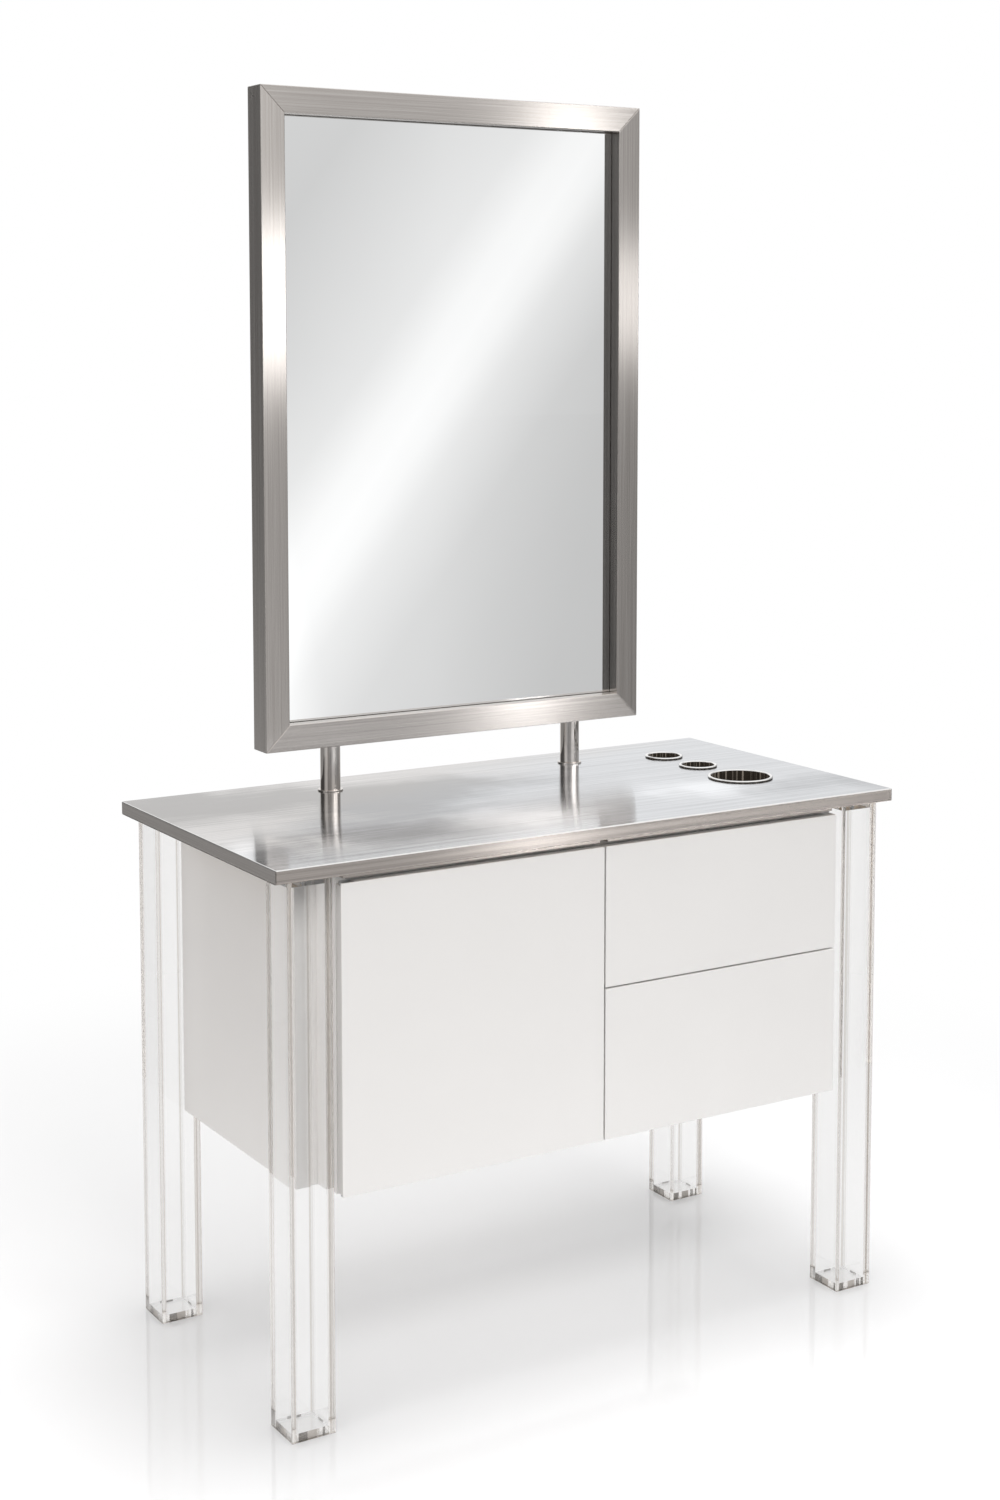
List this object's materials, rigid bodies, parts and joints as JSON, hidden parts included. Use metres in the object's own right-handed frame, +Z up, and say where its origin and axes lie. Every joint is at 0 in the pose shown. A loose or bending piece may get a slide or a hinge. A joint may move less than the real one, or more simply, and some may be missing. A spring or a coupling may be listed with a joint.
{
  "type": "styling station",
  "caption": "Free-standing styling station: brushed steel top on clear square legs, white cabinet with door and drawers, tool cups, steel-framed mirror on posts.",
  "frame": {"origin": "on the floor, under the middle of the work top", "axes": "+X to the right along the front, +Y towards the back, +Z up; the door and the drawers face -Y"},
  "size_m": [1.219, 0.61, 2.143],
  "materials": {
    "brushed_steel": "brushed along the length",
    "polished_steel": "polished",
    "clear_acrylic": "clear, polished edges",
    "zinc_steel": "bright zinc plate",
    "white_lacquer": "satin white lacquer on board",
    "drawer_board": "white melamine board",
    "core_board": "raw fibreboard",
    "mirror_glass": "silvered glass",
    "clear_rubber": "clear, soft",
    "black_plastic": "moulded"
  },
  "bodies": {
    "station": {"top_skin": "brushed_steel", "top_core": "core_board", "leg_front_left": "clear_acrylic", "leg_front_right": "clear_acrylic", "leg_back_left": "clear_acrylic", "leg_back_right": "clear_acrylic", "leg_foot_plugs": "clear_acrylic", "leg_head_plugs": "clear_acrylic", "leg_bolts": "zinc_steel", "leg_inserts": "zinc_steel", "post_left": "brushed_steel", "post_right": "brushed_steel", "post_collars": "brushed_steel", "post_bolts": "zinc_steel", "post_nuts": "zinc_steel", "post_washers": "zinc_steel", "frame_top": "brushed_steel", "frame_bottom": "brushed_steel", "frame_left": "brushed_steel", "frame_right": "brushed_steel", "mirror_glass": "mirror_glass", "mirror_backer": "core_board", "mirror_angles": "zinc_steel", "mirror_screws": "zinc_steel", "cup_back": "polished_steel", "cup_middle": "polished_steel", "cup_large": "polished_steel", "end_panel_left": "white_lacquer", "end_panel_right": "white_lacquer", "leg_fillers": "white_lacquer", "cheek_left": "white_lacquer", "cheek_right": "white_lacquer", "divider": "white_lacquer", "carcass_bottom": "white_lacquer", "carcass_back": "white_lacquer", "carcass_rails": "white_lacquer", "cabinet_screws": "zinc_steel", "shelf": "white_lacquer", "shelf_pins": "zinc_steel", "reveal_strip_left": "brushed_steel", "reveal_strip_right": "brushed_steel", "hinge_plates": "zinc_steel", "bumpers": "clear_rubber", "catch_body": "black_plastic", "slide_outers": "zinc_steel"},
    "door": {"door_panel": "white_lacquer", "hinge_bushes": "black_plastic", "catch_strike": "zinc_steel"},
    "upper_drawer": {"drawer_upper_front": "white_lacquer", "drawer_upper_box": "drawer_board", "drawer_upper_bottom": "drawer_board", "slide_inners_upper": "zinc_steel"},
    "lower_drawer": {"drawer_lower_front": "white_lacquer", "drawer_lower_box": "drawer_board", "drawer_lower_bottom": "drawer_board", "slide_inners_lower": "zinc_steel"},
    "upper_slide_middle": {"slide_mids_upper": "zinc_steel", "slide_cages_upper": "zinc_steel"},
    "lower_slide_middle": {"slide_mids_lower": "zinc_steel", "slide_cages_lower": "zinc_steel"}
  },
  "joints": [
    {"name": "door_hinge", "type": "hinge", "parent": "station", "child": "door", "pos_m": [-0.4865, -0.285, 0.627], "axis": [0, 0, 1], "range_deg": [-115, 0]},
    {"name": "upper_drawer_slide", "type": "slide", "parent": "station", "child": "upper_drawer", "axis": [0, -1, 0], "range_m": [0, 0.38]},
    {"name": "upper_middle_slide", "type": "slide", "parent": "station", "child": "upper_slide_middle", "axis": [0, -1, 0], "range_m": [0, 0.19]},
    {"name": "lower_drawer_slide", "type": "slide", "parent": "station", "child": "lower_drawer", "axis": [0, -1, 0], "range_m": [0, 0.38]},
    {"name": "lower_middle_slide", "type": "slide", "parent": "station", "child": "lower_slide_middle", "axis": [0, -1, 0], "range_m": [0, 0.19]}
  ],
  "couplings": [
    {"joint": "upper_middle_slide", "follows": "upper_drawer_slide", "ratio": 0.5},
    {"joint": "lower_middle_slide", "follows": "lower_drawer_slide", "ratio": 0.5}
  ]
}
